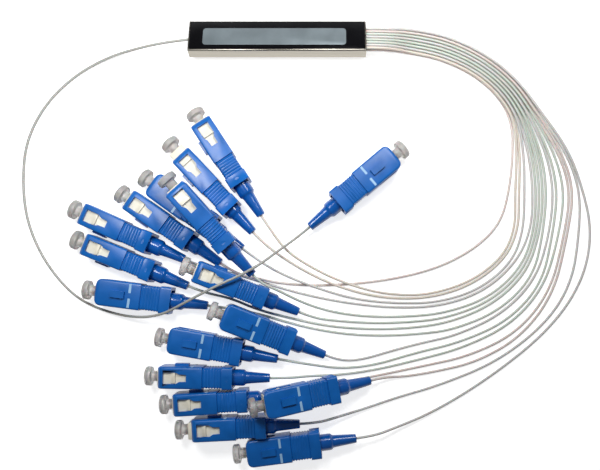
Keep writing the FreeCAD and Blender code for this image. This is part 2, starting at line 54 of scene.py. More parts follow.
# %% Units and sizes
MM = 0.001
TUBE_LENGTH, TUBE_WIDTH, TUBE_HEIGHT = 60.0, 12.0, 4.0
TUBE_WALL, TUBE_EDGE, TUBE_LEAN = 0.4, 0.5, math.radians(-17.0)
PLUG_RECESS = 0.3
GRIP_LENGTH, GRIP_WIDTH, GRIP_DEPTH, TAIL_FLARE = 25.0, 9.0, 7.4, 0.05
BOOT_LENGTH = 12.3
CORD_DIAMETER = 0.9
FLAT = GRIP_DEPTH / 2
TALL = GRIP_WIDTH / 2 + TAIL_FLARE
SLID, HALF_SLID = 2.0, 1.0
print("grip", GRIP_LENGTH, "mm long, its middle", FLAT, "or", TALL, "mm up")

# %% [markdown]
# Each connector lies somewhere on the heap: the place of its nose, the way the nose points, how far
# the nose is raised, and the roll about its own length. Roll 0 shows the key, and a quarter turn
# shows a window. The last number is how far the grip has been pulled back.

# %% Where the connectors lie
PLACES = {
    "input": (39.4, -39.9, FLAT, 40.1, 0, 0, 0),
    "output_01": (-25.8, -28.9, TALL, 123.0, 0, -90, 0),
    "output_02": (-33.8, -38.6, TALL, 133.2, 0, -90, SLID),
    "output_03": (-32.3, -52.6, 14.6, 131.5, 8.0, -90, 0),
    "output_04": (-42.1, -49.4, FLAT, 144.0, 0, 0, 0),
    "output_05": (-49.8, -54.9, TALL, 145.0, 0, -90, 0),
    "output_06": (-65.4, -59.6, TALL, 155.6, 0, -90, 0),
    "output_07": (-64.7, -69.8, TALL, 157.6, 0, -90, 0),
    "output_08": (-60.7, -85.8, 4.6, 172.5, 2.0, 0, 0),
    "output_09": (-27.0, -78.9, 8.9, 157.8, 9.5, 90, 0),
    "output_10": (-18.0, -93.7, 7.8, 157.7, 9.3, 0, 0),
    "output_11": (-36.6, -102.1, FLAT, 169.6, 0, 0, 0),
    "output_12": (-39.8, -114.5, TALL, 179.0, 0, 90, 0),
    "output_13": (-34.8, -123.9, TALL, -176.6, 0, 90, 0),
    "output_14": (-29.6, -132.5, TALL, -177.2, 0, 90, HALF_SLID),
    "output_15": (-3.9, -122.8, 12.6, -169.6, 14.8, 0, 0),
    "output_16": (-10.2, -140.6, FLAT, -172.6, 0, 0, 0),
}


def lying(name):
    """The matrix that carries a piece from the connector's own frame to where it lies."""
    x, y, z, heading, rise, roll, _ = PLACES[name]
    turn = (Matrix.Rotation(math.radians(heading), 4, "Z")
            @ Matrix.Rotation(math.radians(-rise), 4, "Y")
            @ Matrix.Rotation(math.radians(roll), 4, "X"))
    return Matrix.Translation(Vector((x, y, z)) * MM) @ turn


def tube_lying():
    """The matrix that leans the tube over and rests it on its lower edge."""
    half_y, half_z = TUBE_WIDTH / 2 - TUBE_EDGE, TUBE_HEIGHT / 2 - TUBE_EDGE
    lift = half_y * math.sin(-TUBE_LEAN) + half_z * math.cos(TUBE_LEAN) + TUBE_EDGE
    return Matrix.Translation(Vector((0, 0, lift)) * MM) @ Matrix.Rotation(TUBE_LEAN, 4, "X")


print("connectors", len(PLACES))

# %% [markdown]
# The camera looks straight down at the heap, as one does at parts laid out on a table. Its axis is
# a little right of and below the middle of the picture, which the lens shift takes up, so the
# camera itself stays upright.

# %% Camera
camera_data = bpy.data.cameras.new("overhead")
camera_data.lens = 35.04
camera_data.sensor_width = 36.0
camera_data.shift_x = -0.0325
camera_data.shift_y = 0.0900
camera_data.clip_start = 0.01
camera = bpy.data.objects.new("overhead", camera_data)
camera.location = Vector((14.24, -85.02, 202.4)) * MM
bpy.context.scene.collection.objects.link(camera)
bpy.context.scene.camera = camera
print("camera height", round(camera.location.z, 4))

# %% [markdown]
# The cords are 0.9 mm buffered fibre, springy but light, and each has a fixed length. A cord could
# be a swept tube, but one open NURBS line with a round bevel is simpler: its few points pull a
# smooth curve, which is how a stiff thin cord lies. The sixteen outputs leave in eight columns two
# deep, spread into a flat fan, and then each takes its own way to its boot. All points are in
# millimetres: x along the tube, y across it, and the height of the cord's middle.

# %% The bundle of outputs
# Height of a cord that lies on the surface, and the rise of one that lies on another
FLOOR, LAYER = 0.5, 1.02
# Order of the output cords across the bundle, from the inside of its bend to the outside
LANES = (5, 1, 2, 4, 6, 3, 9, 7, 8, 10, 11, 12, 13, 15, 14, 16)

# The bundle's inner and outer cord: eight columns two deep, then spread out over each other,
# then side by side on the surface
DOUBLE_STATIONS = (
    ((45.0, -3.4), (45.8, 4.3)),
    ((56.5, -5.8), (59.0, 1.7)),
    ((67.6, -11.0), (72.4, -4.8)),
    ((76.4, -18.6), (82.8, -13.6)),
)
FAN_STATION = ((81.0, -28.0), (90.4, -24.0))
SINGLE_STATIONS = (
    ((81.0, -40.2), (100.4, -37.0)),
    ((79.6, -52.0), (105.4, -51.0)),
)
print("stations", len(DOUBLE_STATIONS) + 1 + len(SINGLE_STATIONS))

# %% Each output's own way
# From the bundle to the connector, ending where the cord lines up with the boot
TAILS = {
    5: ((77.0, -61.5, 0.5), (70.5, -69.0, 0.5), (60.5, -75.3, 0.5), (50.0, -79.2, 0.5),
        (38.0, -81.8, 0.5), (25.0, -83.4, 0.5), (12.0, -83.9, 0.5), (1.0, -83.1, 0.6),
        (-6.5, -81.6, 2.0)),
    1: ((81.5, -63.5, 0.5), (77.5, -73.5, 0.5), (66.5, -82.0, 0.5), (53.0, -86.6, 0.5),
        (42.0, -87.2, 0.7), (31.0, -85.6, 1.75), (19.5, -81.6, 1.75), (10.0, -76.8, 2.2),
        (2.6, -71.8, 3.6)),
    2: ((83.0, -63.8, 0.5), (79.0, -74.2, 0.5), (68.0, -83.2, 0.5), (54.0, -88.0, 0.5),
        (39.0, -88.5, 0.6), (25.0, -85.8, 1.75), (13.0, -81.0, 1.75), (3.6, -75.6, 3.0)),
    4: ((84.5, -64.1, 0.5), (80.5, -75.0, 0.5), (69.3, -84.5, 0.5), (55.0, -89.4, 0.5),
        (41.0, -90.0, 0.5), (28.0, -88.8, 0.6), (16.5, -85.8, 1.75), (5.5, -81.7, 1.75),
        (-1.4, -78.5, 2.8)),
    6: ((86.0, -64.4, 0.5), (82.0, -75.9, 0.5), (70.6, -85.9, 0.5), (56.0, -90.9, 0.5),
        (40.0, -91.6, 0.5), (24.0, -89.9, 0.5), (10.0, -87.2, 0.5), (-2.0, -83.8, 0.5),
        (-11.5, -80.8, 0.6), (-17.0, -79.3, 1.1), (-22.4, -78.0, 2.0)),
    3: ((87.5, -64.8, 0.5), (83.4, -77.0, 0.5), (72.0, -87.4, 0.5), (57.0, -92.9, 0.5),
        (44.0, -94.6, 0.5), (32.0, -94.6, 0.5), (22.5, -93.6, 0.8), (14.0, -91.7, 1.8),
        (6.9, -88.9, 3.9), (0.6, -85.6, 6.6)),
    9: ((89.0, -65.1, 0.5), (84.8, -78.1, 0.5), (73.3, -88.9, 0.5), (58.0, -94.9, 0.5),
        (44.0, -96.6, 0.5), (31.0, -96.8, 0.5), (19.5, -95.9, 1.0)),
    7: ((90.5, -65.4, 0.5), (86.2, -79.2, 0.5), (74.6, -90.4, 0.5), (59.0, -96.8, 0.5),
        (44.0, -98.7, 0.5), (30.0, -98.9, 0.5), (16.5, -97.8, 0.5), (4.0, -95.1, 0.5),
        (-7.5, -92.1, 0.5), (-16.2, -88.2, 1.1)),
    8: ((92.0, -65.7, 0.5), (87.6, -80.3, 0.5), (75.9, -91.9, 0.5), (60.0, -98.7, 0.5),
        (48.0, -100.6, 0.5), (36.0, -101.2, 0.5), (24.0, -100.7, 0.5), (12.0, -98.8, 0.5),
        (1.5, -96.1, 0.5), (-8.5, -93.1, 0.8)),
    10: ((93.5, -66.0, 0.5), (89.0, -81.4, 0.5), (77.3, -93.5, 0.5), (61.5, -100.9, 0.5),
         (50.5, -103.4, 0.5), (40.0, -106.1, 0.5), (29.5, -109.3, 0.5)),
    11: ((95.0, -66.2, 0.5), (90.4, -82.6, 0.5), (78.7, -95.2, 0.5), (62.2, -103.0, 0.5),
         (47.5, -107.0, 0.5), (33.5, -111.3, 0.5), (22.0, -112.5, 0.6), (13.0, -111.2, 2.2)),
    12: ((96.5, -66.4, 0.5), (91.8, -83.8, 0.5), (80.1, -97.0, 0.5), (63.4, -105.2, 0.5),
         (48.5, -109.4, 0.5), (34.0, -112.9, 0.5), (21.5, -114.7, 0.6), (11.0, -114.8, 2.2)),
    13: ((98.0, -66.6, 0.5), (93.2, -85.0, 0.5), (81.6, -98.9, 0.5), (64.8, -107.6, 0.5),
         (49.5, -111.7, 0.5), (35.5, -114.7, 0.5), (26.0, -116.4, 0.5), (18.0, -118.0, 0.8),
         (11.5, -119.7, 2.6)),
    15: ((99.5, -66.8, 0.5), (94.7, -86.3, 0.5), (83.2, -101.0, 0.5), (68.0, -109.8, 0.5),
         (54.0, -113.6, 0.5), (43.5, -115.3, 0.5)),
    14: ((101.2, -67.0, 0.5), (96.4, -87.8, 0.5), (85.0, -103.4, 0.5), (70.5, -113.2, 0.5),
         (55.0, -118.5, 0.5), (41.5, -122.3, 0.5), (29.5, -126.4, 0.8), (20.0, -129.0, 2.4)),
    16: ((108.2, -64.0, 0.5), (106.6, -77.5, 0.5), (100.6, -90.0, 0.5), (91.0, -101.2, 0.5),
         (78.5, -111.5, 0.5), (65.0, -120.8, 0.5), (52.0, -128.2, 0.6), (40.5, -132.6, 1.8)),
}
print("tails", len(TAILS))

# %% The input's way
# From the tube round its loop and over the heap to its connector
INPUT_ROUTE = (
    (-37.5, -0.9, 3.6), (-47.0, -2.3, 2.4), (-58.6, -5.0, 1.0), (-70.6, -11.4, 0.5),
    (-80.8, -21.4, 0.5), (-87.2, -34.0, 0.5), (-88.4, -47.5, 0.5), (-87.2, -60.3, 0.5),
    (-82.8, -71.8, 0.5), (-76.4, -81.4, 0.5), (-68.8, -88.7, 0.6), (-59.2, -92.8, 1.4),
    (-48.6, -94.8, 4.0), (-38.6, -93.9, 8.3), (-29.2, -89.2, 11.9), (-20.0, -84.4, 13.5),
    (-11.0, -80.4, 13.2), (-4.6, -76.5, 11.0), (0.8, -72.0, 7.4),
)
print("input points", len(INPUT_ROUTE))

# %% [markdown]
# A cord's two ends aren't free: it comes straight out of the tube, and it lines up with its boot
# before it enters it. Those points are worked out from where the tube and the connector lie.

# %% The ends of a cord
# Pitch of the outputs' exits, how many stand side by side, and for how many diameters each goes
# straight on
EXIT_PITCH, EXIT_COLUMNS, EXIT_DIAMETERS = 1.1, 8, 8
# How far before its boot a cord lines up with it, and the shorter way of three crowded ones
BOOT_LINE_UP, SHORT_LINE_UP = 6.0, 3.6
SHORT_TAILS = ("output_03", "output_06", "output_13")
BOOT_END = -GRIP_LENGTH - BOOT_LENGTH


def boot_points(name):
    """The point where a cord lines up with its boot, and the boot's end."""
    line_up = SHORT_LINE_UP if name in SHORT_TAILS else BOOT_LINE_UP
    place = lying(name)
    return [place @ (Vector((x, 0, 0)) * MM) for x in (BOOT_END - line_up, BOOT_END)]


def exit_point(lane, side):
    """Where a cord leaves the tube: the outputs in eight columns and two rows, the input alone."""
    along = side * (TUBE_LENGTH / 2 - PLUG_RECESS)
    across = (lane // 2 - (EXIT_COLUMNS - 1) / 2) * EXIT_PITCH if side > 0 else 0
    up = (lane % 2 - 0.5) * EXIT_PITCH if side > 0 else 0
    return tube_lying() @ (Vector((along, across, up)) * MM)


print("input leaves at", [round(v / MM, 2) for v in exit_point(0, -1)])

# %% [markdown]
# Sixteen evenly spaced cords would look like a ribbon. Real ones cling in twos and threes where
# they lie side by side, and open up again on the way to their connectors. The two rows below are
# the cords' places across the upper and the lower part of the bend, where 0 is the inner cord's
# even place and 15 is the outer one's. Each step of the way follows a row fully or by half.

# %% Clinging cords
UPPER_PLACES = (0, 1.3, 2.1, 3.2, 4.9, 5.6, 6.3, 7.0, 7.7, 9.1, 9.9, 11.3, 12.5, 13.2, 14.4, 15)
LOWER_PLACES = (0, 1.25, 1.9, 3.4, 4.1, 5.5, 6.2, 6.9, 8.4, 9.1, 10.5, 11.2, 12.6, 13.3, 14.5, 15)
CLINGING = ((UPPER_PLACES, 0.5), (UPPER_PLACES, 1), (UPPER_PLACES, 1),
            (LOWER_PLACES, 1), (LOWER_PLACES, 1), (LOWER_PLACES, 0.5))


def between(ends, share):
    """The point at a share of the way from a station's inner cord to its outer one."""
    (x0, y0), (x1, y1) = ends
    return x0 + (x1 - x0) * share, y0 + (y1 - y0) * share


def own_way(lane):
    """A cord's points side by side on the surface and on to its connector, in millimetres."""
    share = lane / (len(LANES) - 1)
    route = [(*between(station, share), FLOOR) for station in SINGLE_STATIONS]
    return route + list(TAILS[LANES[lane]])


def clinging_point(lane, step):
    """A cord's point on its way, moved across the fan to the neighbours that it clings to."""
    places, follow = CLINGING[step]
    place = lane + (places[lane] - lane) * follow
    inner = min(int(place), len(LANES) - 2)
    return Vector(own_way(inner)[step]).lerp(Vector(own_way(inner + 1)[step]), place - inner)


def output_points(lane):
    """All points of an output cord, in metres."""
    start = exit_point(lane, 1)
    column_share = (lane // 2) / (EXIT_COLUMNS - 1)
    lane_share = lane / (len(LANES) - 1)
    layer = FLOOR + LAYER * (lane % 2)
    route = [Vector((*between(station, column_share), layer)) for station in DOUBLE_STATIONS]
    route.append(Vector((*between(FAN_STATION, lane_share), layer)))
    route += [clinging_point(lane, step) for step in range(len(CLINGING))]
    route += [Vector(point) for point in own_way(lane)[len(CLINGING):]]
    straight = Vector((CORD_DIAMETER * EXIT_DIAMETERS * MM, 0, 0))
    return ([start, start + straight] + [point * MM for point in route]
            + boot_points("output_%02d" % LANES[lane]))


def input_points():
    """All points of the input cord, in metres."""
    route = [Vector(point) * MM for point in INPUT_ROUTE]
    return [exit_point(0, -1)] + route + boot_points("input")


print("points of the inner output", len(output_points(0)))

# %% [markdown]
# The curve's bevel gives a cord its thickness. Here each point's radius is the cord's own half
# thickness and the bevel depth is 1, and not the other way round, because a curve's bounding box
# reaches one point radius past its points. The spline's order is set after its points are added.

# %% Cord maker
def make_cord(name, node, points):
    """One smooth round cord that stands for its packed tube."""
    curve = bpy.data.curves.new(name, "CURVE")
    curve.dimensions = "3D"
    curve.bevel_depth = 1
    curve.bevel_resolution = 3
    curve.resolution_u = 8
    curve.use_fill_caps = True
    spline = curve.splines.new("NURBS")
    spline.points.add(len(points) - 1)
    for place, point in zip(spline.points, points):
        place.co = (*point, 1)
        place.radius = CORD_DIAMETER / 2 * MM
    spline.order_u = 3
    spline.use_endpoint_u = True
    cord = bpy.data.objects.new(name, curve)
    bpy.context.scene.collection.objects.link(cord)
    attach(cord, "root")
    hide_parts(node)
    return cord


def line_length(cord):
    """The length of the cord's own line."""
    spare = cord.data.copy()
    spare.bevel_depth = 0
    probe = bpy.data.objects.new("probe", spare)
    mesh = bpy.data.meshes.new_from_object(probe)
    ends = [[mesh.vertices[i].co for i in edge.vertices] for edge in mesh.edges]
    total = sum((a - b).length for a, b in ends)
    bpy.data.objects.remove(probe)
    bpy.data.meshes.remove(mesh)
    bpy.data.curves.remove(spare)
    return total


cords = {"input": make_cord("input_lead", "input_cord", input_points())}
for lane, number in enumerate(LANES):
    lead, node = "output_lead_%02d" % number, "output_cord_%02d" % number
    cords["output_%02d" % number] = make_cord(lead, node, output_points(lane))
for name, cord in cords.items():
    print(name, "cord line", round(line_length(cord) / MM, 1), "mm")

# %% [markdown]
# Every hard piece starts as a primitive and is shaped in edit mode. The helpers below are the
# strokes that repeat. An operator acts on all that is selected, so the selection is cleared first.
# A long piece is grown along X: a ring of points is extruded from station to station and resized at
# each, which needs fewer steps than cutting the shape out of a block.

# %% Strokes: select and settle
def deselect():
    """Nothing selected, so that the next operator acts on its own piece only."""
    bpy.ops.object.select_all(action="DESELECT")


def active(piece):
    """Select one piece alone."""
    deselect()
    piece.select_set(True)
    bpy.context.view_layer.objects.active = piece


def settle(name):
    """Name the new primitive and put its turn and size into its mesh."""
    piece = bpy.context.object
    piece.name = piece.data.name = name
    bpy.ops.object.transform_apply(location=True, rotation=True, scale=True)
    return piece


def triangles(piece):
    """How many triangles a piece has."""
    return sum(len(face.vertices) - 2 for face in piece.data.polygons)


# %% Strokes: grow a piece
MERGE_DISTANCE = 1e-7


def grow(stations, start):
    """Extrude the selected end face from station to station: each is x, half width, half height."""
    x0, y0, z0 = start
    for x, y, z in stations:
        bpy.ops.mesh.extrude_region_move(TRANSFORM_OT_translate={"value": ((x - x0) * MM, 0, 0)})
        bpy.ops.transform.resize(value=(1, y / y0, z / z0), center_override=(x * MM, 0, 0))
        x0, y0, z0 = x, y, z


def ring_face(name, x, half_y, half_z, corner, steps):
    """A rounded rectangle that faces along X, left in edit mode with its face selected."""
    deselect()
    bpy.ops.mesh.primitive_plane_add(size=1, location=(x * MM, 0, 0), rotation=(0, math.pi / 2, 0))
    piece = bpy.context.object
    piece.scale = (2 * half_z * MM, 2 * half_y * MM, 1)
    settle(name)
    bpy.ops.object.mode_set(mode="EDIT")
    bpy.ops.mesh.select_all(action="SELECT")
    bpy.ops.mesh.bevel(offset=corner * MM, segments=steps, affect="VERTICES")
    bpy.ops.mesh.select_all(action="SELECT")
    return piece


def close_mesh(piece):
    """Back to object mode with doubles merged and normals outwards."""
    bpy.ops.mesh.select_all(action="SELECT")
    bpy.ops.mesh.remove_doubles(threshold=MERGE_DISTANCE)
    bpy.ops.mesh.normals_make_consistent(inside=False)
    bpy.ops.object.mode_set(mode="OBJECT")
    return piece


def grown_piece(name, stations, corner, steps):
    """A closed piece through rings of x, half width and half height, from a rounded first ring."""
    piece = ring_face(name, *stations[0], corner, steps)
    grow(stations[1:], stations[0])
    return close_mesh(piece)


def turned_piece(name, stations, around):
    """A round piece about X, grown from a disc: stations are x and radius in millimetres."""
    deselect()
    x, radius = stations[0]
    bpy.ops.mesh.primitive_circle_add(vertices=around, radius=radius * MM, fill_type="NGON",
                                      location=(x * MM, 0, 0), rotation=(0, math.pi / 2, 0))
    piece = settle(name)
    bpy.ops.object.mode_set(mode="EDIT")
    bpy.ops.mesh.select_all(action="SELECT")
    grow([(x, r, r) for x, r in stations[1:]], (x, radius, radius))
    return close_mesh(piece)


def block(name, low, high):
    """A box between two corners, in millimetres."""
    deselect()
    middle = [(a + b) / 2 * MM for a, b in zip(low, high)]
    bpy.ops.mesh.primitive_cube_add(size=1, location=middle)
    bpy.context.object.scale = [(b - a) * MM for a, b in zip(low, high)]
    return settle(name)


# %% [markdown]
# A grown piece is finished with modifiers that are applied at once: a boolean cuts or merges, and
# a bevel rounds every edge sharper than a set angle, because no moulded edge is truly sharp.

# %% Strokes: cut and soften
CUT_PAST = 1              # how far a cutting tool reaches past the piece
SMOOTH_ANGLE = math.radians(35)


def combine(piece, tool, operation):
    """Boolean a tool into a piece and throw the tool away."""
    active(piece)
    modifier = piece.modifiers.new(operation.lower(), "BOOLEAN")
    modifier.operation = operation
    modifier.object = tool
    modifier.solver = "EXACT"
    bpy.ops.object.modifier_apply(modifier=modifier.name)
    bpy.data.meshes.remove(tool.data)
    return piece


def soften(piece, width, segments=2, angle=40):
    """Round the piece's sharp edges by a width in millimetres, and shade it smooth."""
    active(piece)
    modifier = piece.modifiers.new("soft_edges", "BEVEL")
    modifier.width = width * MM
    modifier.segments = segments
    modifier.limit_method = "ANGLE"
    modifier.angle_limit = math.radians(angle)
    bpy.ops.object.modifier_apply(modifier=modifier.name)
    bpy.ops.object.shade_smooth_by_angle(angle=SMOOTH_ANGLE)
    return piece


def join(pieces, name):
    """Several pieces as one."""
    deselect()
    for piece in pieces:
        piece.select_set(True)
    bpy.context.view_layer.objects.active = pieces[0]
    bpy.ops.object.join()
    pieces[0].name = pieces[0].data.name = name
    return pieces[0]


# %% [markdown]
# The grip is a moulded sleeve. Its body is a rounded rectangle grown ring by ring: rounded corners
# at the nose, straight cheeks, a sunken waist with finger ribs, and a full-size tail. Rings give
# the waist and its ribs on all four sides at once. The bore that slides over the plug frame, and
# the stepped window in each narrow face, are then cut out.

# %% Grip body
HALF_Y, HALF_Z = GRIP_WIDTH / 2, GRIP_DEPTH / 2
NOSE_RADIUS, NOSE_STEPS, NOSE_BEVEL = 2.0, 5, 0.5
WAIST_START, WAIST_END, WAIST_STEP, STEP_RUN = 15.0, 21.5, 0.5, 0.03
RIB_COUNT, RIB_HEIGHT = 7, 0.2
# One rib from front to back: share of its pitch, and share of its height
RIB_PROFILE = ((0.14, 0), (0.36, 0.8), (0.5, 1), (0.64, 0.8), (0.86, 0))


def nose_rings():
    """Rings that round the nose's corners in plan and bevel it in side view."""
    rings = [(0, HALF_Y - NOSE_RADIUS, HALF_Z - NOSE_BEVEL)]
    for step in range(1, NOSE_STEPS + 1):
        angle = math.radians(90 / NOSE_STEPS * step)
        x = -NOSE_RADIUS * (1 - math.cos(angle))
        y = HALF_Y - NOSE_RADIUS * (1 - math.sin(angle))
        z = min(HALF_Z, HALF_Z - NOSE_BEVEL - x)
        rings.append((x, y, z))
    return rings


def waist_rings():
    """Rings of the waist with its ribs, from its front step to the tail."""
    low_y, low_z, tail_y = HALF_Y - WAIST_STEP, HALF_Z - WAIST_STEP, HALF_Y + TAIL_FLARE
    rings = [(-WAIST_START, HALF_Y, HALF_Z), (-WAIST_START - STEP_RUN, low_y, low_z)]
    pitch = (WAIST_END - WAIST_START) / RIB_COUNT
    for i in range(RIB_COUNT):
        front = -WAIST_START - i * pitch
        for share, up in RIB_PROFILE:
            rings.append((front - share * pitch, low_y + up * RIB_HEIGHT, low_z + up * RIB_HEIGHT))
    return rings + [(-WAIST_END, low_y, low_z), (-WAIST_END - STEP_RUN, tail_y, HALF_Z),
                    (-GRIP_LENGTH, tail_y, HALF_Z)]


grip = grown_piece("grip_master", nose_rings() + waist_rings(), corner=0.45, steps=3)
print("grip body", triangles(grip), "triangles")

# %% Bore, windows and key
BORE_Y, BORE_Z = 3.55, 2.85
WINDOW_RINGS = ((-2.0, 6, 2.0), (-6.2, 6, 2.0), (-7.4, 5.9, 1.3), (-9.8, 5.9, 1.2))
KEY_LOW, KEY_HIGH = (-9.9, -1.15, 3.0), (-5.3, 1.15, 4.5)
bore_rings = ((CUT_PAST, BORE_Y, BORE_Z), (-GRIP_LENGTH - CUT_PAST, BORE_Y, BORE_Z))
combine(grip, grown_piece("bore", bore_rings, corner=0.3, steps=2), "DIFFERENCE")
combine(grip, grown_piece("window", WINDOW_RINGS, corner=0.05, steps=1), "DIFFERENCE")
combine(grip, block("key", KEY_LOW, KEY_HIGH), "UNION")
soften(grip, 0.07)
print("grip", triangles(grip), "triangles")

# %% [markdown]
# On the key's face two short white bars show how far the plug has gone in. They are thin inlays,
# so they are made as low pads and joined to the grip with their own finish. A small raised oval
# sits on the tail of each window face, where the mould's ejector pin pressed.

# %% White bars
BAR_LENGTH, BAR_WIDTH, BAR_GAP, BAR_BACK = 3.1, 0.8, 1.85, 11.5
BAR_HEIGHT, BAR_RIM = 0.03, 0.02


def white_bar(side):
    """A low pad with a softened rim, to one side of the key."""
    middle = (-BAR_BACK, side * (BAR_GAP + BAR_LENGTH) / 2, HALF_Z)
    half = (BAR_WIDTH / 2, BAR_LENGTH / 2, BAR_HEIGHT)
    corners = [[m + sign * h for m, h in zip(middle, half)] for sign in (-1, 1)]
    pad = block("bar", *corners)
    bpy.ops.object.mode_set(mode="EDIT")
    bpy.ops.mesh.select_all(action="SELECT")
    bpy.ops.mesh.bevel(offset=BAR_RIM * MM, segments=1, affect="EDGES")
    return close_mesh(pad)


bars = [white_bar(side) for side in (-1, 1)]
print("bars", len(bars))

# %% Mould marks
MARK_BACK, MARK_RADIUS, MARK_HEIGHT = 23.2, 0.75, 0.1
MARK_OVAL, MARK_RIM, MARK_DISH = (0.7, 1, 1.15), 0.16, 0.04


def mould_mark(side):
    """A flat oval button on one window face."""
    deselect()
    bpy.ops.mesh.primitive_circle_add(
        vertices=20, radius=MARK_RADIUS * MM, fill_type="NGON",
        location=(-MARK_BACK * MM, side * HALF_Y * MM, 0), rotation=(math.pi / 2, 0, 0))
    mark = settle("mould_mark")
    bpy.ops.object.mode_set(mode="EDIT")
    bpy.ops.mesh.select_all(action="SELECT")
    bpy.ops.transform.resize(value=MARK_OVAL, center_override=(-MARK_BACK * MM, 0, 0))
    raised = {"value": (0, side * MARK_HEIGHT * MM, 0)}
    bpy.ops.mesh.extrude_region_move(TRANSFORM_OT_translate=raised)
    bpy.ops.mesh.inset(thickness=MARK_RIM * MM)
    bpy.ops.transform.translate(value=(0, -side * MARK_DISH * MM, 0))
    return close_mesh(mark)


marks = [mould_mark(side) for side in (-1, 1)]
print("marks", len(marks))

# %% [markdown]
# Inside the grip is the cream plug frame that the adapter's latches catch. What shows of it is its
# hollow front, its bevelled mouth, and the ramped catch with its tongue that stands in each window,
# so a block grown into that shape is merged into each side.

# %% Plug frame
FRAME_Y, FRAME_Z, FRAME_LENGTH, FRAME_BEVEL = 3.5, 2.8, 19.0, 0.2
HOLLOW_Y, HOLLOW_Z, HOLLOW_DEPTH = 2.6, 2.2, 8.5
CHAMBER_HALF, CHAMBER_START = 2.3, 10.4
SEAT_RADIUS, SEAT_START, SEAT_END = 1.28, 8.0, 11.0

plug_frame = grown_piece("frame_master", (
    (0, FRAME_Y - FRAME_BEVEL, FRAME_Z - FRAME_BEVEL), (-FRAME_BEVEL, FRAME_Y, FRAME_Z),
    (-FRAME_LENGTH, FRAME_Y, FRAME_Z)), corner=0.25, steps=2)
hollow_rings = ((CUT_PAST, HOLLOW_Y, HOLLOW_Z), (-HOLLOW_DEPTH, HOLLOW_Y, HOLLOW_Z))
combine(plug_frame, grown_piece("hollow", hollow_rings, corner=0.3, steps=2), "DIFFERENCE")
chamber = block("chamber", (-FRAME_LENGTH - CUT_PAST, -CHAMBER_HALF, -CHAMBER_HALF),
                (-CHAMBER_START, CHAMBER_HALF, CHAMBER_HALF))
combine(plug_frame, chamber, "DIFFERENCE")
seat = turned_piece("seat", ((-SEAT_START, SEAT_RADIUS), (-SEAT_END, SEAT_RADIUS)), around=24)
combine(plug_frame, seat, "DIFFERENCE")
print("hollow frame", triangles(plug_frame), "triangles")

# %% Catches
CATCH_FRONT, CATCH_BACK, CATCH_HALF = -4.2, -6.1, 1.8
CATCH_ROOT, CATCH_TOP, CATCH_RAMP = 3.4, 4.25, 1.4
SLOPE_RUN, SLOPE_NARROWING, TONGUE_RUN = 1.15, 0.6, 2.3
NEAR = 0.1                # a point this close to a face counts as on it


def frame_catch(side):
    """A block with a ramp in front, that narrows behind to a tongue."""
    low, high = sorted((side * CATCH_ROOT, side * CATCH_TOP))
    catch = block("catch", (CATCH_BACK, low, -CATCH_HALF), (CATCH_FRONT, high, CATCH_HALF))
    bpy.ops.object.mode_set(mode="EDIT")
    mesh = bmesh.from_edit_mesh(catch.data)
    for face in mesh.faces:
        face.select_set(face.normal.x < -0.5)
    bmesh.update_edit_mesh(catch.data)
    bpy.ops.mesh.extrude_region_move(TRANSFORM_OT_translate={"value": (-SLOPE_RUN * MM, 0, 0)})
    bpy.ops.transform.resize(value=(1, 1, SLOPE_NARROWING),
                             center_override=((CATCH_BACK - SLOPE_RUN) * MM, 0, 0))
    bpy.ops.mesh.extrude_region_move(TRANSFORM_OT_translate={"value": (-TONGUE_RUN * MM, 0, 0)})
    for vert in mesh.verts:
        in_front = vert.co.x > (CATCH_FRONT - NEAR) * MM
        vert.select_set(in_front and abs(vert.co.y) > (CATCH_TOP - NEAR) * MM)
    mesh.select_flush(True)
    bmesh.update_edit_mesh(catch.data)
    bpy.ops.transform.translate(value=(-CATCH_RAMP * MM, 0, 0))
    return close_mesh(catch)


for side in (-1, 1):
    combine(plug_frame, frame_catch(side), "UNION")
soften(plug_frame, 0.06)
print("plug frame", triangles(plug_frame), "triangles")

# %% [markdown]
# The dust cap is a soft mushroom pushed over the ferrule. It is turned about its own length: a
# flat head with a rounded rim, a hollow behind the rim, a slim neck, and the bore that grips the
# ferrule. One profile runs from the middle of the head over the outside and back up the bore to
# its floor, so the wall is closed all round.

# %% Dust cap
# Each corner is the distance along the cap and the radius there
CAP_PROFILE = (
    (4.9, 0.9), (4.86, 1.9), (4.76, 2.6), (4.55, 3.02), (4.25, 3.22), (3.9, 3.25),
    (2.95, 3.25), (2.72, 3.18), (2.62, 3.0), (2.66, 2.6), (2.62, 2.1), (2.4, 1.85),
    (2.1, 1.8), (-3.0, 1.8), (-3.2, 1.7), (-3.2, 1.27), (1.42, 1.27), (1.42, 0.4),
)
cap = turned_piece("cap_master", CAP_PROFILE, around=36)
soften(cap, 0.03, segments=1, angle=60)
print("cap", triangles(cap), "triangles")

# %% [markdown]
# The boot is one soft moulding: a thick collar that sits against the grip, a rounded shoulder, and
# a long slim taper that hands the cord on without a sharp bend. It ends in a small lip round the
# cord.

# %% Tail boot
BOOT_PROFILE = (
    (-21.0, 2.7), (-21.1, 2.8), (-28.2, 2.8), (-28.55, 2.74), (-28.85, 2.55), (-29.1, 2.3),
    (-29.35, 2.14), (-29.8, 2.07), (-31.0, 1.98), (-33.0, 1.82), (-35.0, 1.66), (-36.9, 1.51),
    (-37.15, 1.44), (-37.28, 1.25), (-37.28, 0.62), (-37.1, 0.5),
)
boot = turned_piece("boot_master", BOOT_PROFILE, around=32)
soften(boot, 0.05, segments=1, angle=50)
print("boot", triangles(boot), "triangles")

# %% [markdown]
# The splitter body is a flat steel tube with rolled edges, open at both ends and closed there by
# potting compound that the cords come out of. A glossy black sticker covers its upper face, with a
# plain silver field where such a tube carries its marking. That field is left bare.

